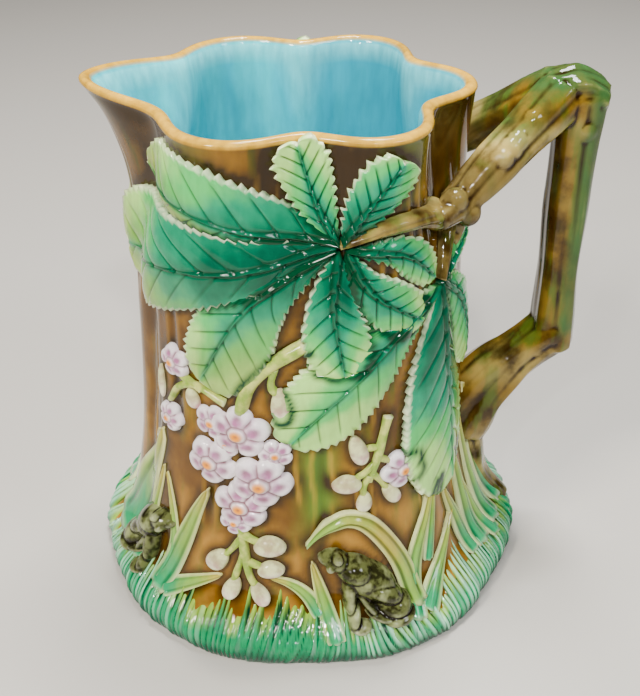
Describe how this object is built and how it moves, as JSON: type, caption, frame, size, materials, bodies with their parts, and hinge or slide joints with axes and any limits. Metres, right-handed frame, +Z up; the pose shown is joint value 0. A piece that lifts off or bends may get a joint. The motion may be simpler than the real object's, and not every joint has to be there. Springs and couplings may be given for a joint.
{
  "type": "majolica pitcher",
  "caption": "Glazed earthenware jug shaped as a tree stump, with chestnut leaves, blossom, frogs and grass in relief, a lobed rim with a spout and a forked branch handle.",
  "frame": {"origin": "under the middle of the pitcher's box, on the surface that its foot ring stands on", "axes": "+Z up, handle on +X, spout on -X, the side with the blossom and the frogs on -Y"},
  "size_m": [0.1928, 0.1722, 0.1987],
  "materials": {
    "majolica": "thick coloured lead glaze: ochre-brown bark, green leaves and grass, white and pink blossom, turquoise inside, yellow lip"
  },
  "bodies": {
    "root": {"pitcher": "majolica"}
  },
  "joints": []
}
